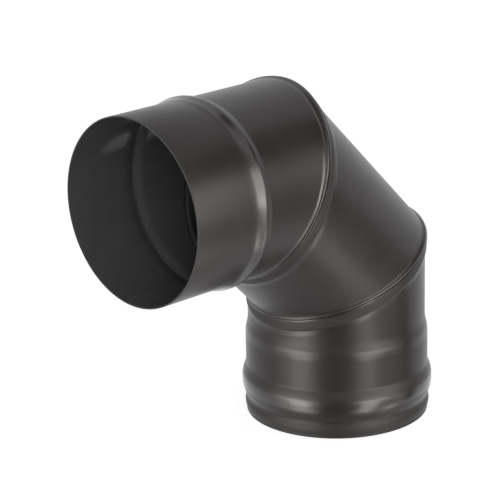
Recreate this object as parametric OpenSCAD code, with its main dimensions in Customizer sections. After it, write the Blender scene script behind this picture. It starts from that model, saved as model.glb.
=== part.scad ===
// Stove pipe elbow: a 90 degree bend of three rolled sheet-metal segments.
// The segments meet at two slanted seams. At each seam the upper segment's edge
// has a raised ridge and a short sleeve, and the sleeve sits inside the next
// segment's raised band.
// Z is up. The origin is the middle of the socket's rim, and the spigot's mouth
// faces -X.

/* [Pipe] */
// Outer diameter of the plain pipe wall
pipe_d = 115; // [90:1:180]
// Thickness of the sheet
sheet_t = 0.8; // [0.6:0.1:1]
// Angle that the elbow turns through, in degrees
bend_angle = 90; // [60:5:90]

/* [Segments] */
// Plain wall on the inside of the bend, from the spigot's bead to the upper seam
spigot_plain_len = 14; // [6:0.5:60]
// Plain wall on the inside of the bend, from the upper seam to the lower seam
middle_plain_len = 39; // [15:1:80]
// Plain wall on the inside of the bend, from the lower seam to the shoulder
socket_plain_len = 3.4; // [2:0.2:60]

/* [Spigot end] */
// How much larger the spigot's diameter is than the pipe's
spigot_growth = 0.6; // [0:0.1:1]
// Straight length of the spigot, from its mouth to the stop bead
spigot_len = 42; // [25:1:80]
// Height of the stop bead over the spigot
stop_bead_rise = 2.15; // [1:0.05:3]
// Length of the stop bead's gentle front slope
stop_bead_front_len = 11; // [6:0.5:20]
// Length of the stop bead's steeper back slope
stop_bead_back_len = 7.5; // [5:0.5:15]

/* [Socket end] */
// Gap all round between the socket and a spigot pushed into it
socket_clearance = 0.7; // [0.3:0.1:1]
// Straight edge of the socket at its rim
rim_len = 1; // [0.5:0.1:3]
// Length of the socket's lip, from the rim to the groove over it
lip_len = 10; // [6:0.5:20]
// Height of the lip's swell over the socket's wall
lip_rise = 0.85; // [0.2:0.05:1.5]
// Length of the socket's round bead
socket_bead_len = 23; // [14:0.5:30]
// Height of the socket's bead over its wall
socket_bead_rise = 2.7; // [1:0.1:4]
// Straight length of the socket above its bead
socket_wall_len = 19; // [10:0.5:40]
// Length of the shoulder, where the socket narrows to the pipe
shoulder_len = 13; // [8:0.5:25]

/* [Seams] */
// Height of the ridge over the pipe wall
ridge_rise = 1.45; // [1:0.05:1.6]
// Length of the ridge's outer slope
ridge_front_len = 2.4; // [1.8:0.1:4]
// Inside radius of the tight folds beside the ridge
fold_r = 0.25; // [0.2:0.05:0.5]
// How far the sleeve's outside stands over the pipe wall
sleeve_rise = 0.1; // [0:0.05:0.3]
// Length of the sleeve, measured along the pipe
sleeve_len = 5.6; // [3:0.1:8]
// Gap all round between the sleeve and the band over it
seam_clearance = 0.2; // [0.1:0.05:0.3]
// Slit between the ridge and the band's edge, measured along the pipe
seam_slit = 0.15; // [0.1:0.05:0.5]
// Room in the band past the end of the sleeve
band_spare_len = 0.8; // [0.4:0.1:3]
// Length of the step from the band down to the pipe wall
band_step_len = 2; // [1.5:0.1:5]

/* [Hidden] */
satin_black = [0.17, 0.17, 0.175];

// Sides of the round ends in a preview, and the turn of an arc in one step of their outlines
round_fn = 144;
round_step = 6;

// Sides of the rings at the seams, and the turn of an arc in one step of their outlines
sides = 56;
ring_step = 30;

// Radii of the outside of the sheet
pipe_r = pipe_d / 2;
spigot_r = pipe_r + spigot_growth / 2;
stop_bead_r = spigot_r + stop_bead_rise;
socket_bore_r = spigot_r + socket_clearance;
socket_r = socket_bore_r + sheet_t;
lip_r = socket_r + lip_rise;
socket_bead_r = socket_r + socket_bead_rise;
ridge_r = pipe_r + ridge_rise;
sleeve_r = pipe_r + sleeve_rise;
band_r = sleeve_r + seam_clearance + sheet_t;

// Three segments share the turn over two mitres, so each mitre leans by a quarter of it
half_turn = bend_angle / 2;
mitre = bend_angle / 4;
lean = tan(mitre);

// The first fold's part of the two folds in each offset bend
even_share = 0.5;
stop_bead_front_share = 0.85;
stop_bead_crest_share = 0.3;
lip_fold_share = 0.4;
socket_bead_fold_share = 0.2;

// The ridge folds down to the sleeve round the sheet's own thickness
ridge_fold_r = sheet_t + fold_r;
ridge_folds = ridge_fold_r + fold_r;
ridge_back_len = ridge_folds * sin(acos(1 - (ridge_r - sleeve_r) / ridge_folds));
ridge_len = ridge_front_len + ridge_back_len;
ridge_front_folds = (pow(ridge_rise, 2) + pow(ridge_front_len, 2)) / (2 * ridge_rise);
ridge_crest_share = ridge_fold_r / ridge_front_folds;
ridge_back_share = ridge_fold_r / ridge_folds;
band_len = sleeve_len + band_spare_len;
band_edge_r = sheet_t / 2;
band_edge_at = seam_slit + band_edge_r;

// Plain wall that a seam's rings start with
seam_wall_len = sheet_t;
ridge_ring_len = ridge_len + seam_wall_len;
band_ring_len = band_len + band_step_len + seam_wall_len;

// Places along the spigot, from its mouth
stop_bead_at = spigot_len + stop_bead_front_len;
spigot_wall_at = stop_bead_at + stop_bead_back_len;
spigot_axis_len = spigot_wall_at + spigot_plain_len + ridge_len + pipe_r * lean;

// Length of the middle segment between the two mitres
middle_axis_len = band_len + band_step_len + middle_plain_len + ridge_len + 2 * pipe_r * lean;

// Places up the socket, from its rim
lip_at = (rim_len + lip_len) / 2;
socket_bead_at = lip_len + socket_bead_len / 2;
socket_wall_at = lip_len + socket_bead_len;
shoulder_at = socket_wall_at + socket_wall_len;
neck_at = shoulder_at + shoulder_len;
socket_axis_len = neck_at + socket_plain_len + band_len + band_step_len + pipe_r * lean;

// A seam's rings lap over the round wall that they join. They cover its outside by a thin skin,
// and stand back from its inside by as much.
join_share = 1 / 3;
skin_share = 1 / 40;
lap_share = 1.25;
join_len = sheet_t;
join_skin = sheet_t * skin_share;
lap_len = join_len * lap_share;
spigot_join_at = spigot_wall_at + spigot_plain_len * join_share;
socket_join_at = neck_at + socket_plain_len * join_share;

function unit(v) = v / norm(v);
function last(list) = len(list) - 1;
function backwards(list) = [for (i = [last(list) : -1 : 0]) list[i]];
function without_ends(list) = [for (i = [1 : last(list) - 1]) list[i]];

// Points of an arc about a centre, from one angle to another
function arc(centre, radius, from, to, step) =
  let (steps = max(2, ceil(abs(to - from) / step)))
  [for (i = [0 : steps]) let (a = from + (to - from) * i / steps) centre + radius * [cos(a), sin(a)]];

// An offset bend in the sheet: two arcs that leave point a and reach point b along the pipe.
// first_share is the first arc's part of the two radii.
function joggle(a, b, first_share, step) =
  let (
    rise = b[0] - a[0],
    length = b[1] - a[1],
    way = sign(rise),
    turn = 2 * atan(abs(rise / length)),
    folds = (pow(rise, 2) + pow(length, 2)) / (2 * abs(rise)),
    first_r = folds * first_share,
    second_r = folds - first_r,
    near = way > 0 ? 180 : 0,
    far = way > 0 ? 0 : 180
  )
  concat(
    arc(a + [way * first_r, 0], first_r, near, near - way * turn, step),
    arc(b - [way * second_r, 0], second_r, far - way * turn, far, step)
  );

// Drops points that repeat the one before them
function tidy(path) =
  [for (i = [0 : last(path)]) if (i == 0 || norm(path[i] - path[max(i - 1, 0)]) > join_skin * skin_share) path[i]];

// The way across the path, to the inner side, between a point and the next
function across(path, i) = let (way = unit(path[i + 1] - path[i])) [-way[1], way[0]];

// The sheet's inner side, one thickness from the path
function inner_side(path) =
  [
    for (i = [0 : last(path)])
      let (
        before = across(path, max(i - 1, 0)),
        after = across(path, min(i, last(path) - 1)),
        middle = unit(before + after)
      )
      path[i] + middle * sheet_t / (middle * before)
  ];

// A closed section of the sheet from its outer side. The path runs away from the pipe's end.
function sheet_section(path) = let (outer = tidy(path)) concat(outer, backwards(inner_side(outer)));

// Outer side of the spigot, from its mouth
function spigot_path(length) = concat(
  [[spigot_r, 0]],
  joggle([spigot_r, spigot_len], [stop_bead_r, stop_bead_at], stop_bead_front_share, round_step),
  joggle([stop_bead_r, stop_bead_at], [pipe_r, spigot_wall_at], stop_bead_crest_share, round_step),
  [[pipe_r, length]]
);

// Outer side of the socket, from its rim
function socket_path(length) = concat(
  [[socket_r, 0]],
  joggle([socket_r, rim_len], [lip_r, lip_at], lip_fold_share, round_step),
  joggle([lip_r, lip_at], [socket_r, lip_len], 1 - lip_fold_share, round_step),
  joggle([socket_r, lip_len], [socket_bead_r, socket_bead_at], socket_bead_fold_share, round_step),
  joggle([socket_bead_r, socket_bead_at], [socket_r, socket_wall_at], 1 - socket_bead_fold_share, round_step),
  joggle([socket_r, shoulder_at], [pipe_r, neck_at], even_share, round_step),
  [[pipe_r, length]]
);

// Outer side of the ridge, up to the mitre
ridge_path = concat(
  [[pipe_r, -ridge_ring_len]],
  joggle([pipe_r, -ridge_len], [ridge_r, -ridge_back_len], 1 - ridge_crest_share, ring_step),
  joggle([ridge_r, -ridge_back_len], [sleeve_r, 0], ridge_back_share, ring_step)
);

// Outer side of the band, past the mitre, and its rounded edge
band_path = concat(
  [[band_r, band_edge_at]],
  joggle([band_r, band_len], [pipe_r, band_len + band_step_len], even_share, ring_step),
  [[pipe_r, band_ring_len]]
);
band_edge = arc([band_r - band_edge_r, band_edge_at], band_edge_r, 180, 360, ring_step);

// Corners that stand on a circle's tangents, so that flat sides keep the radius
function corner_r(r) = r / cos(180 / sides);

// A ring of points round the axis, leaning by the slope of a mitre
function ring(r, height, slope) =
  [for (i = [0 : sides - 1]) let (a = 360 * i / sides) [r * cos(a), r * sin(a), height + slope * r * cos(a)]];

// The rings of a section whose points are a radius and a distance below the mitre
function rings_below(section, mitre_at, slope) =
  [for (p = section) ring(corner_r(p[0]), mitre_at - p[1], slope)];

// The same rings in the frame of the segment above, which leans away by half the turn
function seen_from_above(rings) =
  [for (points = rings) [for (p = points)
    [p[0] * cos(half_turn) + p[2] * sin(half_turn), p[1], p[2] * cos(half_turn) - p[0] * sin(half_turn)]]];

// Rings that lap over the round wall, on the outside or on the inside
function lap_rings(r, heights) = [for (h = heights) ring(r, h, 0)];

// A closed skin over rings that follow one another round a section
module skin(rings) {
  count = len(rings);
  polyhedron(
    points = [for (points = rings) each points],
    faces = [
      for (k = [0 : count - 1], i = [0 : sides - 1])
        let (next_k = (k + 1) % count, next_i = (i + 1) % sides)
        [k * sides + i, k * sides + next_i, next_k * sides + next_i, next_k * sides + i]
    ]
  );
}

module revolved(section) {
  rotate_extrude($fn = round_fn) polygon(section);
}

// Frame of the middle segment: zero on the lower seam and its own axis as Z
module middle_frame() {
  translate([0, 0, socket_axis_len]) rotate([0, -half_turn, 0]) children();
}

// Frame of the spigot segment: zero on the upper seam and its own axis as Z
module spigot_frame() {
  middle_frame() translate([0, 0, middle_axis_len]) rotate([0, -half_turn, 0]) children();
}

sleeve_outer = [[sleeve_r, sleeve_len]];
sleeve_inner = [[sleeve_r - sheet_t, sleeve_len]];
ridge_outer = tidy(ridge_path);
ridge_inner = inner_side(concat(ridge_outer, sleeve_outer));
band_outer = tidy(band_path);
band_inner = inner_side(band_outer);

module spigot_segment() {
  join_top = spigot_axis_len - spigot_join_at;
  heights = [join_top, join_top - lap_len];
  color(satin_black) spigot_frame() {
    translate([0, 0, spigot_axis_len]) rotate([180, 0, 0])
      revolved(sheet_section(spigot_path(spigot_join_at + join_len)));
    skin(concat(
      lap_rings(corner_r(pipe_r + join_skin), heights),
      rings_below(ridge_outer, 0, -lean),
      seen_from_above(rings_below(concat(sleeve_outer, sleeve_inner), 0, lean)),
      rings_below(backwards([for (i = [0 : last(ridge_outer)]) ridge_inner[i]]), 0, -lean),
      lap_rings(corner_r(pipe_r - sheet_t + join_skin), backwards(heights))
    ));
  }
}

module middle_segment() {
  color(satin_black) middle_frame() {
    skin(concat(
      rings_below(concat(without_ends(band_edge), band_outer), middle_axis_len, lean),
      rings_below(ridge_outer, 0, -lean),
      seen_from_above(rings_below(concat(sleeve_outer, sleeve_inner), 0, lean)),
      rings_below(backwards([for (i = [0 : last(ridge_outer)]) ridge_inner[i]]), 0, -lean),
      rings_below(backwards(band_inner), middle_axis_len, lean)
    ));
  }
}

module socket_segment() {
  heights = [socket_join_at, socket_join_at + lap_len];
  color(satin_black) {
    revolved(sheet_section(socket_path(socket_join_at + join_len)));
    skin(concat(
      rings_below(concat(without_ends(band_edge), band_outer), socket_axis_len, lean),
      lap_rings(corner_r(pipe_r + join_skin), backwards(heights)),
      lap_rings(corner_r(pipe_r - sheet_t + join_skin), heights),
      rings_below(backwards(band_inner), socket_axis_len, lean)
    ));
  }
}

spigot_segment();
middle_segment();
socket_segment();
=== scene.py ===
import math
import bpy
from mathutils import Matrix, Vector


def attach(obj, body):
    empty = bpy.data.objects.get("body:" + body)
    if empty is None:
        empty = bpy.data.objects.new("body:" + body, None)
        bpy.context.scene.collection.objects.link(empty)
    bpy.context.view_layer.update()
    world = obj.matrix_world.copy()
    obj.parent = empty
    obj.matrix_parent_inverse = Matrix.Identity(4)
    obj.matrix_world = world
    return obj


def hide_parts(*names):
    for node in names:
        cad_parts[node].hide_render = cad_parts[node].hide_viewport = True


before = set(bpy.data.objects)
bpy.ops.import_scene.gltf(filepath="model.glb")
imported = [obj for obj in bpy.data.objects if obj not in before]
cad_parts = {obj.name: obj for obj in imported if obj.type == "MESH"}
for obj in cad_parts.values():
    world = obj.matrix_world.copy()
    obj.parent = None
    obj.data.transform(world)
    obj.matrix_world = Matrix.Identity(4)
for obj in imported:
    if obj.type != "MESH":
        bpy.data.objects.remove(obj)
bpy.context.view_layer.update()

# All sizes are in metres and all turns in degrees, as a maker would set them out.
pipe = {
    "radius": 0.0575,  # outside of the plain wall
    "sheet": 0.0008,
    "mitreLean": 22.5,  # a quarter of the elbow's turn
    "sides": 240,
    "arcStep": 7.0,  # turn of a fold between two rings
    "fewestSteps": 3,  # rings in the smallest fold
    "edgeRound": 0.00028,  # the rounding of every cut edge of the sheet
    "edgeSegments": 3,
    "edgeAngle": 60,  # a cut edge turns by more than this, and a fold's rings by less
    "smoothAngle": 40,
    "samePlace": 1e-6,  # points closer than this are one
}
lean = math.tan(math.radians(pipe["mitreLean"]))
halfTurn = math.radians(2 * pipe["mitreLean"])


# Outlines: pairs of a radius and a place along the pipe

def offsetBend(start, end, firstShare):
    # two folds that carry the sheet from one radius to another
    rise, run = end[0] - start[0], end[1] - start[1]
    turn = 2 * math.atan(abs(rise / run))
    folds = (rise ** 2 + run ** 2) / (2 * abs(rise))
    first, second = folds * firstShare, folds * (1 - firstShare)
    way = math.copysign(1, rise)
    steps = max(pipe["fewestSteps"], math.ceil(math.degrees(turn) / pipe["arcStep"]))
    outline = []
    for i in range(1, steps + 1):
        angle = turn * i / steps
        outline.append((start[0] + way * first * (1 - math.cos(angle)),
                        start[1] + first * math.sin(angle)))
    for i in range(1, steps + 1):
        angle = turn * (1 - i / steps)
        outline.append((end[0] - way * second * (1 - math.cos(angle)),
                        end[1] - second * math.sin(angle)))
    return outline


# The seams: a ridge and a sleeve on the upper segment, a raised band on the lower one
seam = {
    "ridgeRise": 0.00145,
    "ridgeFront": 0.0034,
    "foldRadius": 0.00025,
    "sleeveRise": 0.0001,
    "sleeveLength": 0.0056,
    "bandRise": 0.00135,
    "bandFlare": 0.0004,  # how much wider the band is at its edge
    "bandSlit": 0.00015,  # between the ridge and the band's edge
    "bandLength": 0.0064,
    "bandStep": 0.002,
    "stepFoldShare": 0.5,
}


def ridgeOutline():
    # from the plain wall to the seam; places count down to 0 at the seam
    crest, sleeve = pipe["radius"] + seam["ridgeRise"], pipe["radius"] + seam["sleeveRise"]
    outerFold = pipe["sheet"] + seam["foldRadius"]
    folds = outerFold + seam["foldRadius"]
    back = folds * math.sin(math.acos(1 - (crest - sleeve) / folds))
    frontFolds = (seam["ridgeRise"] ** 2 + seam["ridgeFront"] ** 2) / (2 * seam["ridgeRise"])
    start = (pipe["radius"], back + seam["ridgeFront"])
    front = offsetBend((start[0], 0), (crest, seam["ridgeFront"]), 1 - outerFold / frontFolds)
    rear = offsetBend((crest, 0), (sleeve, back), outerFold / folds)
    outline = [start]
    outline += [(radius, start[1] - place) for radius, place in front]
    outline += [(radius, back - place) for radius, place in rear]
    return outline


def bandOutline():
    # from the plain wall to the band's edge; places are distances below the seam
    band = pipe["radius"] + seam["bandRise"]
    start = seam["bandLength"] + seam["bandStep"]
    foot = (band - seam["bandFlare"], seam["bandStep"])
    step = offsetBend((pipe["radius"], 0), foot, seam["stepFoldShare"])
    outline = [(pipe["radius"], start)]
    outline += [(radius, start - place) for radius, place in step]
    outline.append((band, seam["bandSlit"]))
    return outline


# Mesh steps

def startTube(name, radius, low, high):
    # an open tube along Z, in edit mode with nothing selected
    bpy.ops.object.select_all(action="DESELECT")
    bpy.ops.mesh.primitive_cylinder_add(vertices=pipe["sides"], radius=radius, depth=high - low,
                                        end_fill_type="NOTHING", location=(0, 0, (low + high) / 2))
    tube = bpy.context.object
    tube.name = name
    bpy.ops.object.transform_apply(location=True, rotation=True, scale=True)
    bpy.ops.object.mode_set(mode="EDIT")
    bpy.ops.mesh.select_mode(type="EDGE")
    bpy.ops.mesh.select_all(action="DESELECT")
    return tube


def selectRing(tube, height, slope):
    # the ring of edges round the axis at this height, which leans by the slope
    bpy.ops.mesh.select_all(action="DESELECT")
    bpy.ops.object.mode_set(mode="OBJECT")
    mesh = tube.data
    onRing = [abs(v.co.z - height - slope * v.co.x) < pipe["samePlace"] for v in mesh.vertices]
    for edge in mesh.edges:
        edge.select = all(onRing[i] for i in edge.vertices)
    bpy.ops.object.mode_set(mode="EDIT")


def growRings(outline, height, way):
    # one more ring for each point after the first; way is +1 up the axis and -1 down it
    for (radius, place), (nextRadius, nextPlace) in zip(outline, outline[1:]):
        move = way * abs(nextPlace - place)
        height += move
        bpy.ops.mesh.extrude_edges_move(TRANSFORM_OT_translate={"value": (0, 0, move)})
        size = nextRadius / radius
        bpy.ops.transform.resize(value=(size, size, size), center_override=(0, 0, height))
    return height


def cutAtSeam(tube, height, slope, keepBelow):
    # cuts the tube by a leaning plane and leaves its new edge selected
    square = Vector((-slope, 0, 1)).normalized()
    bpy.ops.mesh.select_all(action="SELECT")
    bpy.ops.mesh.bisect(plane_co=(0, 0, height), plane_no=square if keepBelow else -square,
                        clear_outer=True)
    selectRing(tube, height, slope)


def addSleeve():
    # the sleeve runs on along the axis of the segment below
    along = Vector((-math.sin(halfTurn), 0, -math.cos(halfTurn))) * seam["sleeveLength"]
    bpy.ops.mesh.extrude_edges_move(TRANSFORM_OT_translate={"value": along})


def growRidge(tube):
    # the tube's lower end sits over a seam at height 0
    outline = ridgeOutline()
    cutAtSeam(tube, outline[0][1], -lean, keepBelow=False)
    growRings(outline, outline[0][1], -1)
    addSleeve()


def growBand(tube, seamHeight):
    # the tube's upper end sits under a seam at this height
    outline = bandOutline()
    cutAtSeam(tube, seamHeight - outline[0][1], lean, keepBelow=True)
    growRings(outline, seamHeight - outline[0][1], 1)


def finishSheet(tube, place):
    # the wall gets its thickness and rounded edges, and the segment goes to its place
    bpy.ops.mesh.select_all(action="SELECT")
    bpy.ops.mesh.remove_doubles(threshold=pipe["samePlace"])
    bpy.ops.mesh.normals_make_consistent(inside=False)
    bpy.ops.object.mode_set(mode="OBJECT")
    tube.data.materials.append(None)
    tube.data.materials.append(None)
    wall = tube.modifiers.new("Wall", "SOLIDIFY")
    wall.thickness = pipe["sheet"]
    wall.offset = -1
    wall.use_even_offset = True
    wall.material_offset = 1  # the inner side has a finish of its own
    bpy.ops.object.modifier_apply(modifier=wall.name)
    edge = tube.modifiers.new("Edge", "BEVEL")
    edge.width = pipe["edgeRound"]
    edge.segments = pipe["edgeSegments"]
    edge.limit_method = "ANGLE"
    edge.angle_limit = math.radians(pipe["edgeAngle"])
    bpy.ops.object.modifier_apply(modifier=edge.name)
    tube.matrix_world = place
    bpy.ops.object.transform_apply(location=True, rotation=True, scale=True)
    bpy.ops.object.shade_smooth_by_angle(angle=math.radians(pipe["smoothAngle"]))
    print("made", tube.name, "with", len(tube.data.polygons), "faces")


# Socket segment: stands on its rim, with a lip, a round bead, a straight wall and a shoulder
socket = {
    "radius": 0.0593,
    "rimLength": 0.001,
    "lipTop": 0.0055,
    "lipLength": 0.010,
    "lipRise": 0.00085,
    "lipFoldShare": 0.4,
    "beadLength": 0.023,
    "beadRise": 0.0027,
    "beadFoldShare": 0.2,
    "wallLength": 0.019,
    "shoulderLength": 0.013,
    "shoulderFoldShare": 0.5,
    "plainLength": 0.0034,
}
bandAndStep = seam["bandLength"] + seam["bandStep"]
beadTop = socket["lipLength"] + socket["beadLength"] / 2
wallStart = socket["lipLength"] + socket["beadLength"]
shoulderStart = wallStart + socket["wallLength"]
neckStart = shoulderStart + socket["shoulderLength"]
lowerSeam = neckStart + socket["plainLength"] + bandAndStep + pipe["radius"] * lean


def socketOutline():
    wall = socket["radius"]
    lip, bead = wall + socket["lipRise"], wall + socket["beadRise"]
    outline = [(wall, 0), (wall, socket["rimLength"])]
    outline += offsetBend(outline[-1], (lip, socket["lipTop"]), socket["lipFoldShare"])
    outline += offsetBend(outline[-1], (wall, socket["lipLength"]), 1 - socket["lipFoldShare"])
    outline += offsetBend(outline[-1], (bead, beadTop), socket["beadFoldShare"])
    outline += offsetBend(outline[-1], (wall, wallStart), 1 - socket["beadFoldShare"])
    outline.append((wall, shoulderStart))
    outline += offsetBend(outline[-1], (pipe["radius"], neckStart), socket["shoulderFoldShare"])
    return outline


def makeSocketSegment():
    tube = startTube("socketSegment", pipe["radius"], neckStart, lowerSeam + pipe["radius"])
    selectRing(tube, neckStart, 0)
    growRings(socketOutline()[::-1], neckStart, -1)
    growBand(tube, lowerSeam)
    finishSheet(tube, Matrix())
    return tube


# Middle segment: plain wall between the two seams
middle = {"plainLength": 0.038}
ridgeStart = ridgeOutline()[0][1]
middleLength = bandAndStep + middle["plainLength"] + ridgeStart + 2 * pipe["radius"] * lean
middlePlace = Matrix.Translation((0, 0, lowerSeam)) @ Matrix.Rotation(-halfTurn, 4, "Y")


def makeMiddleSegment():
    top = middleLength + pipe["radius"]
    tube = startTube("middleSegment", pipe["radius"], -pipe["radius"], top)
    growRidge(tube)
    growBand(tube, middleLength)
    finishSheet(tube, middlePlace)
    return tube


# Spigot segment: straight end with a stop bead, then plain wall down to the upper seam
spigot = {
    "radius": 0.0578,
    "length": 0.042,
    "beadRise": 0.00215,
    "beadFront": 0.011,
    "beadFrontShare": 0.85,
    "beadBack": 0.0075,
    "beadCrestShare": 0.3,
    "plainLength": 0.013,
}
spigotBead = spigot["length"] + spigot["beadFront"]
spigotWall = spigotBead + spigot["beadBack"]
spigotLength = spigotWall + spigot["plainLength"] + ridgeStart + pipe["radius"] * lean
spigotPlace = (middlePlace @ Matrix.Translation((0, 0, middleLength))
               @ Matrix.Rotation(-halfTurn, 4, "Y"))


def spigotOutline():
    crest = spigot["radius"] + spigot["beadRise"]
    outline = [(spigot["radius"], 0), (spigot["radius"], spigot["length"])]
    outline += offsetBend(outline[-1], (crest, spigotBead), spigot["beadFrontShare"])
    outline += offsetBend(outline[-1], (pipe["radius"], spigotWall), spigot["beadCrestShare"])
    return outline


def makeSpigotSegment():
    wallTop = spigotLength - spigotWall
    tube = startTube("spigotSegment", pipe["radius"], -pipe["radius"], wallTop)
    selectRing(tube, wallTop, 0)
    growRings(spigotOutline()[::-1], wallTop, 1)
    growRidge(tube)
    finishSheet(tube, spigotPlace)
    return tube


# Finish: satin black heat-resistant paint on sheet steel. Scales are per metre.
paint = {
    "colour": (0.0322, 0.028, 0.0267),
    "lightColour": (0.0375, 0.0325, 0.031),  # where the coat is a little thinner
    "roughness": 0.315,
    "patchRoughness": 0.04,  # how much the gloss changes from place to place
    "specular": 0.25,
    "sheen": 0.105,
    "sheenRoughness": 0.35,
    "rubbedRoughness": 0.25,  # where rollers pressed the sheet
    "rubbedCoat": 1.0,
    "coatRoughness": 0.23,
    "mattRoughness": 0.55,  # on the seams' bands and the lip, where the spray went on dry
    # painted shade: the darker colour on the seams' bands, the lip and the mouth edge
    "paintedShadeColour": (0.0278, 0.0247, 0.0236),
    "edgeColour": (0.05, 0.049, 0.048),  # the cut edge of the sheet
    "edgeFade": (0.0001, 0.0004),
    "cloudScale": 38.0,
    "cloudDetail": 4.0,
    "cloudRange": (0.3, 0.7),
    "dustScale": 1500.0,  # dry specks of spray
    "dustDetail": 1.0,
    "dustRange": (0.62, 0.8),
    "dustRoughness": 0.06,
    "peelScale": 700.0,  # grain of the paint
    "peelDetail": 2.0,
    "peelDepth": 0.0000025,
    "waveScale": 22.0,  # slight waves left in the sheet by rolling it
    "waveDetail": 0.0,
    "waveDepth": 0.00004,
    "ringCore": 0.45,  # share of a ring's half width that has its full strength
    "ringSpeckleScale": 900.0,
    "ringSpeckleDetail": 2.0,
    "ringSpeckleRange": (0.3, 0.7),
    "ringSpeckleLow": 0.8,
}
inside = {  # the same coat, smoother inside the pipe, and drawn a little paler there as painted light that lifts the shade inside
    "colour": (0.07, 0.0693, 0.068),
    "lightColour": (0.078, 0.077, 0.075),
    "roughness": 0.12,
    "patchRoughness": 0.05,
    "specular": 0.12,
    "dentScale": 26.0,  # shallow dents that catch the light
    "dentDetail": 1.0,
    "dentDepth": 0.0006,
}


def newGroup(name, inputs, outputs):
    group = bpy.data.node_groups.new(name, "ShaderNodeTree")
    for socketName, kind, value in inputs:
        made = group.interface.new_socket(name=socketName, in_out="INPUT", socket_type=kind)
        if value is not None:
            made.default_value = value
    for socketName, kind in outputs:
        group.interface.new_socket(name=socketName, in_out="OUTPUT", socket_type=kind)
    start = group.nodes.new("NodeGroupInput")
    end = group.nodes.new("NodeGroupOutput")
    start.location, end.location = (-900, 0), (900, 0)
    return group, start, end


def addMath(tree, operation, first, second=None, clamp=False):
    node = tree.nodes.new("ShaderNodeMath")
    node.operation = operation
    node.use_clamp = clamp
    for i, value in enumerate((first, second)):
        if value is None:
            continue
        if isinstance(value, bpy.types.NodeSocket):
            tree.links.new(value, node.inputs[i])
        else:
            node.inputs[i].default_value = value
    return node.outputs[0]


def addNoise(tree, vector, scale, detail):
    node = tree.nodes.new("ShaderNodeTexNoise")
    node.inputs["Scale"].default_value = scale
    node.inputs["Detail"].default_value = detail
    tree.links.new(vector, node.inputs["Vector"])
    return node.outputs["Fac"]


def addRange(tree, value, low, high, toLow=0.0, toHigh=1.0, smooth=True):
    node = tree.nodes.new("ShaderNodeMapRange")
    node.interpolation_type = "SMOOTHSTEP" if smooth else "LINEAR"
    for i, number in enumerate((value, low, high, toLow, toHigh)):
        if isinstance(number, bpy.types.NodeSocket):
            tree.links.new(number, node.inputs[i])
        else:
            node.inputs[i].default_value = number
    return node.outputs[0]


def mixColour(tree, factor, first, second):
    node = tree.nodes.new("ShaderNodeMix")
    node.data_type = "RGBA"
    tree.links.new(factor, node.inputs["Factor"])
    for name, value in (("A", first), ("B", second)):
        place = [s for s in node.inputs if s.name == name and s.type == "RGBA"][0]
        if isinstance(value, bpy.types.NodeSocket):
            tree.links.new(value, place)
        else:
            place.default_value = (*value, 1)
    return [s for s in node.outputs if s.type == "RGBA"][0]


def makeFinishRing():
    # a soft-edged ring round the sheet: where rollers rubbed the paint, and where the spray went on
    # dry, which also darkens the colour as painted shade
    inputs = [("Vector", "NodeSocketVector", None), ("Slope", "NodeSocketFloat", 0.0),
              ("Middle", "NodeSocketFloat", 0.0), ("Half Width", "NodeSocketFloat", 0.004),
              ("Strength", "NodeSocketFloat", 1.0)]
    group, start, end = newGroup("finishRing", inputs, [("Mask", "NodeSocketFloat")])
    parts = group.nodes.new("ShaderNodeSeparateXYZ")
    group.links.new(start.outputs["Vector"], parts.inputs[0])
    lift = addMath(group, "MULTIPLY", parts.outputs["X"], start.outputs["Slope"])
    height = addMath(group, "SUBTRACT", parts.outputs["Z"], lift)
    far = addMath(group, "ABSOLUTE", addMath(group, "SUBTRACT", height, start.outputs["Middle"]))
    inner = addMath(group, "MULTIPLY", start.outputs["Half Width"], paint["ringCore"])
    mask = addRange(group, far, inner, start.outputs["Half Width"], 1.0, 0.0)
    speckle = addNoise(group, start.outputs["Vector"], paint["ringSpeckleScale"],
                       paint["ringSpeckleDetail"])
    speckle = addRange(group, speckle, *paint["ringSpeckleRange"], paint["ringSpeckleLow"], 1.0)
    mask = addMath(group, "MULTIPLY", mask, speckle)
    mask = addMath(group, "MULTIPLY", mask, start.outputs["Strength"])
    group.links.new(mask, end.inputs["Mask"])
    return group


def makeCutEdge():
    # finds the cut edge of the sheet at the pipe's mouth
    inputs = [("Vector", "NodeSocketVector", None), ("Mouth", "NodeSocketFloat", 0.0)]
    group, start, end = newGroup("cutEdge", inputs, [("Mask", "NodeSocketFloat")])
    parts = group.nodes.new("ShaderNodeSeparateXYZ")
    group.links.new(start.outputs["Vector"], parts.inputs[0])
    gap = addMath(group, "SUBTRACT", parts.outputs["Z"], start.outputs["Mouth"])
    gap = addMath(group, "ABSOLUTE", gap)
    group.links.new(addRange(group, gap, *paint["edgeFade"], 1.0, 0.0), end.inputs["Mask"])
    return group


def makePaintCoat():
    # cloudy changes in colour and gloss, and the height of the paint's grain and the sheet's waves
    outputs = [(name, "NodeSocketFloat") for name in ("Cloud", "Dust", "Height")]
    group, start, end = newGroup("paintCoat", [("Vector", "NodeSocketVector", None)], outputs)
    vector = start.outputs["Vector"]
    cloud = addNoise(group, vector, paint["cloudScale"], paint["cloudDetail"])
    dust = addNoise(group, vector, paint["dustScale"], paint["dustDetail"])
    grain = addNoise(group, vector, paint["peelScale"], paint["peelDetail"])
    wave = addNoise(group, vector, paint["waveScale"], paint["waveDetail"])
    grain = addMath(group, "MULTIPLY", grain, paint["peelDepth"])
    wave = addMath(group, "MULTIPLY", wave, paint["waveDepth"])
    group.links.new(addRange(group, cloud, *paint["cloudRange"]), end.inputs["Cloud"])
    group.links.new(addRange(group, dust, *paint["dustRange"]), end.inputs["Dust"])
    group.links.new(addMath(group, "ADD", grain, wave), end.inputs["Height"])
    return group


finishRing, cutEdge, paintCoat = makeFinishRing(), makeCutEdge(), makePaintCoat()


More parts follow.
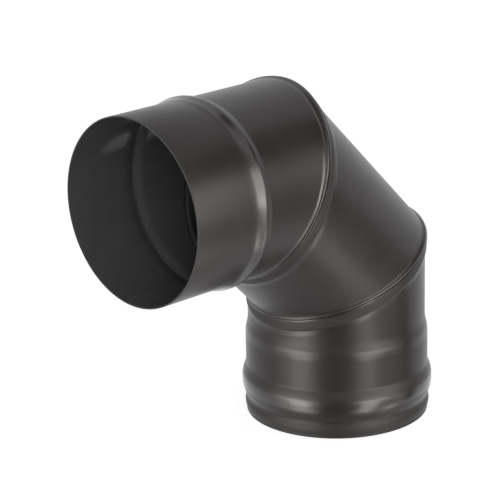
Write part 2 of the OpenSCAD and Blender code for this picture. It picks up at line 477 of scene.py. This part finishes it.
def placeGroup(tree, group, vector, **values):
    node = tree.nodes.new("ShaderNodeGroup")
    node.node_tree = group
    tree.links.new(vector, node.inputs["Vector"])
    for name, value in values.items():
        node.inputs[name.replace("_", " ")].default_value = value
    return node


def addBump(tree, height, shader):
    bump = tree.nodes.new("ShaderNodeBump")
    bump.inputs["Strength"].default_value = 1.0
    bump.inputs["Distance"].default_value = 1.0
    tree.links.new(height, bump.inputs["Height"])
    tree.links.new(bump.outputs["Normal"], shader.inputs["Normal"])


def addRings(tree, vector, ringPlaces):
    # each ring is its slope, middle, half width and strength
    mask = None
    for slope, middle, halfWidth, strength in ringPlaces:
        placed = placeGroup(tree, finishRing, vector, Slope=slope, Middle=middle,
                            Half_Width=halfWidth, Strength=strength)
        found = placed.outputs["Mask"]
        mask = found if mask is None else addMath(tree, "MAXIMUM", mask, found)
    return mask


def cloudyGloss(tree, cloud, finish):
    low = finish["roughness"]
    return addRange(tree, cloud, 0.0, 1.0, low, low + finish["patchRoughness"], smooth=False)


def blackPaint(name, place, mouth, rubbedRings, mattAndShadeRings):
    # place is the segment's frame, and mouth the height of its open end there
    material = bpy.data.materials.new(name)
    material.use_nodes = True
    tree = material.node_tree
    shader = tree.nodes["Principled BSDF"]
    shader.inputs["Specular IOR Level"].default_value = paint["specular"]
    shader.inputs["Coat Roughness"].default_value = paint["coatRoughness"]
    shader.inputs["Sheen Weight"].default_value = paint["sheen"]
    shader.inputs["Sheen Roughness"].default_value = paint["sheenRoughness"]
    coords = tree.nodes.new("ShaderNodeTexCoord")
    turned = tree.nodes.new("ShaderNodeMapping")
    back = place.inverted()
    turned.inputs["Location"].default_value = back.to_translation()
    turned.inputs["Rotation"].default_value = back.to_euler()
    tree.links.new(coords.outputs["Object"], turned.inputs["Vector"])
    own = turned.outputs["Vector"]
    coat = placeGroup(tree, paintCoat, coords.outputs["Object"])
    edge = placeGroup(tree, cutEdge, own, Mouth=mouth)
    rubbed, mattAndShade = addRings(tree, own, rubbedRings), addRings(tree, own, mattAndShadeRings)
    colour = mixColour(tree, coat.outputs["Cloud"], paint["colour"], paint["lightColour"])
    # painted shade: the rougher rings also darken the paint's colour
    colour = mixColour(tree, mattAndShade, colour, paint["paintedShadeColour"])
    colour = mixColour(tree, edge.outputs["Mask"], colour, paint["edgeColour"])
    tree.links.new(colour, shader.inputs["Base Color"])
    gloss = cloudyGloss(tree, coat.outputs["Cloud"], paint)
    dust = addMath(tree, "MULTIPLY", coat.outputs["Dust"], paint["dustRoughness"])
    gloss = addMath(tree, "ADD", gloss, dust, clamp=True)
    gloss = addRange(tree, mattAndShade, 0.0, 1.0, gloss, paint["mattRoughness"], smooth=False)
    gloss = addRange(tree, rubbed, 0.0, 1.0, gloss, paint["rubbedRoughness"], smooth=False)
    tree.links.new(gloss, shader.inputs["Roughness"])
    rubbedCoat = addMath(tree, "MULTIPLY", rubbed, paint["rubbedCoat"])
    tree.links.new(rubbedCoat, shader.inputs["Coat Weight"])
    addBump(tree, coat.outputs["Height"], shader)
    return material


def insidePaintWithPaintedLight():
    material = bpy.data.materials.new("pipeInsidePaintedLight")
    material.use_nodes = True
    tree = material.node_tree
    shader = tree.nodes["Principled BSDF"]
    shader.inputs["Specular IOR Level"].default_value = inside["specular"]
    coords = tree.nodes.new("ShaderNodeTexCoord")
    coat = placeGroup(tree, paintCoat, coords.outputs["Object"])
    # painted light: the paler colours stand in for light inside the pipe
    colour = mixColour(tree, coat.outputs["Cloud"], inside["colour"], inside["lightColour"])
    tree.links.new(colour, shader.inputs["Base Color"])
    tree.links.new(cloudyGloss(tree, coat.outputs["Cloud"], inside), shader.inputs["Roughness"])
    dents = addNoise(tree, coords.outputs["Object"], inside["dentScale"], inside["dentDetail"])
    dents = addMath(tree, "MULTIPLY", dents, inside["dentDepth"])
    addBump(tree, addMath(tree, "ADD", coat.outputs["Height"], dents), shader)
    return material


# Rings of the finish: height over the place that each is put at, half width and strength
rings = {
    "socketBead": (0.0, 0.0052, 0.72),
    "shoulder": (0.0025, 0.004, 0.25),
    "socketStep": (-0.001, 0.0028, 0.35),
    "middleStep": (-0.001, 0.0028, 0.3),
    "bandLip": (0.0, 0.0008, 1.0),
    "band": (-0.0046, 0.0048, 1.0),  # wider than the band, because a ring fades out
    "socketLip": (0.003, 0.0095, 0.8),
    "lowerRidge": (0.0008, 0.0015, 1.0),
    "upperRidge": (ridgeStart / 2, ridgeStart * 0.7, 0.75),
    "stopBead": (0.003, 0.0045, 0.75),
    "mouthEdge": (0.0, 0.0012, 0.5),
}
noMouth = -1.0  # far below a segment that has no open end of its own


def ring(name, slope, height):
    offset, halfWidth, strength = rings[name]
    return slope, height + offset, halfWidth, strength


# the rougher rings of each segment also carry painted shade in their darker colour
finishes = {
    "socketSegment": {
        "name": "socketBlack",
        "place": Matrix(),
        "mouth": noMouth,
        "rubbedRings": [ring("socketBead", 0, beadTop), ring("shoulder", 0, shoulderStart),
                        ring("socketStep", lean, lowerSeam - bandAndStep),
                        ring("bandLip", lean, lowerSeam)],
        "mattAndShadeRings": [ring("band", lean, lowerSeam), ring("socketLip", 0, 0)],
    },
    "middleSegment": {
        "name": "middleBlack",
        "place": middlePlace,
        "mouth": noMouth,
        "rubbedRings": [ring("lowerRidge", -lean, 0),
                        ring("middleStep", lean, middleLength - bandAndStep),
                        ring("bandLip", lean, middleLength)],
        "mattAndShadeRings": [ring("band", lean, middleLength)],
    },
    "spigotSegment": {
        "name": "spigotBlack",
        "place": spigotPlace,
        "mouth": spigotLength,
        "rubbedRings": [ring("stopBead", 0, spigotLength - spigotBead),
                        ring("upperRidge", -lean, 0)],
        "mattAndShadeRings": [ring("mouthEdge", 0, spigotLength)],
    },
}
pipeInsidePaintedLight = insidePaintWithPaintedLight()

for tube, node in ((makeSocketSegment(), "socket_segment"),
                   (makeMiddleSegment(), "middle_segment"),
                   (makeSpigotSegment(), "spigot_segment")):
    tube.data.materials[0] = blackPaint(**finishes[tube.name])
    tube.data.materials[1] = pipeInsidePaintedLight
    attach(tube, "root")
    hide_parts(node)
print("painted the three segments, inside and out")

# Camera: in front of the mouth and to one side, looking down a little
camera = {
    "aim": (-0.0651, 0.0118, 0.1196),
    "distance": 1.3385,
    "turn": -43.8,
    "height": 18.02,
    "roll": -1.28,
    "lens": 153.85,
    "sensor": 36,
}


def addCamera():
    turn = (Matrix.Rotation(math.radians(camera["turn"]), 4, "Z")
            @ Matrix.Rotation(math.radians(90 - camera["height"]), 4, "X")
            @ Matrix.Rotation(math.radians(camera["roll"]), 4, "Z"))
    back = turn.to_3x3() @ Vector((0, 0, camera["distance"]))
    bpy.ops.object.camera_add()
    shot = bpy.context.object
    shot.matrix_world = Matrix.Translation(Vector(camera["aim"]) + back) @ turn
    shot.data.lens = camera["lens"]
    shot.data.sensor_width = camera["sensor"]
    bpy.context.scene.camera = shot


addCamera()
print("camera set")

# Studio: each soft box and black card covers a span of directions round the elbow, its turns
# from +Y towards +X and its heights over the floor. A box's last number is its brightness.
studio = {
    "middle": (-0.055, 0.0, 0.12),
    "distance": 2.0,
    "floorSize": 6.0,
    "floorColour": (0.8, 0.8, 0.8),
    "floorGlow": 0.72,  # whitens the floor that is seen, and lights nothing
    "backdropRoughness": 0.9,
    "worldLight": 0.39,
    "fill": 0.35,  # as bright as a white card by the elbow would look
    "fillSize": 1.0,
    "flagReach": 1.2,  # the cards stand this many times further out than the boxes
    "leftTint": (1.0, 0.97, 0.92),
    "rightTint": (1.0, 0.93, 0.89),
    "boxes": {
        "leftCore": ((-103, -77), (-24, -10), 6.2),
        "leftBright": ((-100, -74), (-9, 5), 5.0),
        "leftBroad": ((-110, -56), (-9, 5), 3.4),
        "leftUpper": ((-103, -77), (4, 30), 2.8),
        "leftHigh": ((-103, -58), (30, 50), 2.0),
        "leftLow": ((-103, -77), (-50, -24), 3.4),
        "leftWide": ((-77, -58), (-50, 15), 0.9),
        "leftTop": ((-77, -58), (15, 30), 2.6),
        "rightCore": ((176, 196), (-24, -10), 4.8),
        "rightBright": ((166, 196), (-9, 5), 4.4),
        "rightBroad": ((150, 205), (-9, 5), 3.2),
        "rightUpper": ((143, 198), (5, 30), 4.1),
        "rightLow": ((178, 198), (-50, -24), 4.2),
        "rightUnder": ((144, 162), (-52, -32), 3.3),
    },
    "flags": {
        "cameraFlag": ((-162, -112), (-62, 25)),
        "rightFlag": ((121, 137), (-28, 0)),
        "rightTopFlag": ((100, 168), (25, 50)),
        "topFlag": ((-190, -90), (52, 104)),
    },
}


def direction(turn, height):
    turn, height = math.radians(turn), math.radians(height)
    flat = math.cos(height)
    return Vector((math.sin(turn) * flat, math.cos(turn) * flat, math.sin(height)))


def facingPlace(target, way, distance):
    # out from the target along this way, turned to face it
    turned = way.to_track_quat("Z", "Y").to_matrix().to_4x4()
    return Matrix.Translation(target + way * distance) @ turned


def spanPanel(turns, heights, distance):
    # where a flat panel stands to cover this span of directions, and its size
    turn, height = sum(turns) / 2, sum(heights) / 2
    width = 2 * distance * math.tan(math.radians((turns[1] - turns[0]) / 2))
    depth = 2 * distance * math.tan(math.radians((heights[1] - heights[0]) / 2))
    place = facingPlace(Vector(studio["middle"]), direction(turn, height), distance)
    return place, width * math.cos(math.radians(height)), depth


def addSoftBox(name, turns, heights, level):
    # a soft box that only gloss shows, so that it doesn't wash out the paint's colour
    place, width, depth = spanPanel(turns, heights, studio["distance"])
    bpy.ops.object.light_add(type="AREA")
    box = bpy.context.object
    box.name = name
    box.matrix_world = place
    box.data.shape = "RECTANGLE"
    box.data.size, box.data.size_y = width, depth
    box.data.energy = level * width * depth * math.pi
    box.data.color = studio["leftTint" if name.startswith("left") else "rightTint"]
    box.visible_camera = box.visible_diffuse = False


def addFill():
    # one broad lamp by the camera evens out the paint's own colour, inside the pipe too
    aim = Vector(camera["aim"])
    way = (bpy.context.scene.camera.matrix_world.translation - aim).normalized()
    bpy.ops.object.light_add(type="AREA")
    fill = bpy.context.object
    fill.name = "fill"
    fill.matrix_world = facingPlace(aim, way, studio["distance"])
    fill.data.shape = "DISK"
    fill.data.size = studio["fillSize"]
    fill.data.energy = studio["fill"] * studio["distance"] ** 2 * math.pi ** 2
    fill.visible_camera = fill.visible_glossy = False


def addBackdropRays(tree):
    # 1 for the rays that show the white backdrop: to the camera, through glass and in gloss
    paths = tree.nodes.new("ShaderNodeLightPath")
    seen = paths.outputs["Is Camera Ray"]
    for kind in ("Is Transmission Ray", "Is Glossy Ray"):
        seen = addMath(tree, "MAXIMUM", seen, paths.outputs[kind])
    return seen


def plainMaterial(name, colour, glow=0.0):
    material = bpy.data.materials.new(name)
    material.use_nodes = True
    tree = material.node_tree
    shader = tree.nodes["Principled BSDF"]
    shader.inputs["Base Color"].default_value = (*colour, 1)
    shader.inputs["Roughness"].default_value = studio["backdropRoughness"]
    shader.inputs["Specular IOR Level"].default_value = 0.0
    if glow:
        shader.inputs["Emission Color"].default_value = (1, 1, 1, 1)
        seen = addMath(tree, "MULTIPLY", addBackdropRays(tree), glow)
        tree.links.new(seen, shader.inputs["Emission Strength"])
    return material


def addFloor():
    bpy.ops.object.select_all(action="DESELECT")
    bpy.ops.mesh.primitive_plane_add(size=studio["floorSize"], location=(0, 0, 0))
    floor = bpy.context.object
    floor.name = "floor"
    white = plainMaterial("floorWhite", studio["floorColour"], studio["floorGlow"])
    floor.data.materials.append(white)
    floor.visible_glossy = floor.visible_shadow = False  # gloss sees the soft boxes through it


def addFlag(name, turns, heights):
    # a black card between the lamps and the backdrop, which only gloss shows
    place, width, depth = spanPanel(turns, heights, studio["distance"] * studio["flagReach"])
    bpy.ops.mesh.primitive_plane_add(size=1)
    flag = bpy.context.object
    flag.name = name
    flag.data.transform(place @ Matrix.Diagonal((width, depth, 1, 1)))
    flag.data.materials.append(plainMaterial("flagBlack", (0, 0, 0)))
    flag.visible_camera = flag.visible_transmission = False
    flag.visible_diffuse = flag.visible_shadow = False


def addWorld():
    world = bpy.data.worlds.new("studio")
    world.use_nodes = True
    bpy.context.scene.world = world
    tree = world.node_tree
    level = addRange(tree, addBackdropRays(tree), 0.0, 1.0, studio["worldLight"], 1.0, smooth=False)
    tree.nodes["Background"].inputs["Color"].default_value = (1, 1, 1, 1)
    tree.links.new(level, tree.nodes["Background"].inputs["Strength"])


addFloor()
for name, (turns, heights) in studio["flags"].items():
    addFlag(name, turns, heights)
addWorld()
addFill()
for name, (turns, heights, level) in studio["boxes"].items():
    addSoftBox(name, turns, heights, level)
bpy.context.scene.view_settings.view_transform = "Standard"
print("studio set with", len(studio["boxes"]), "soft boxes")
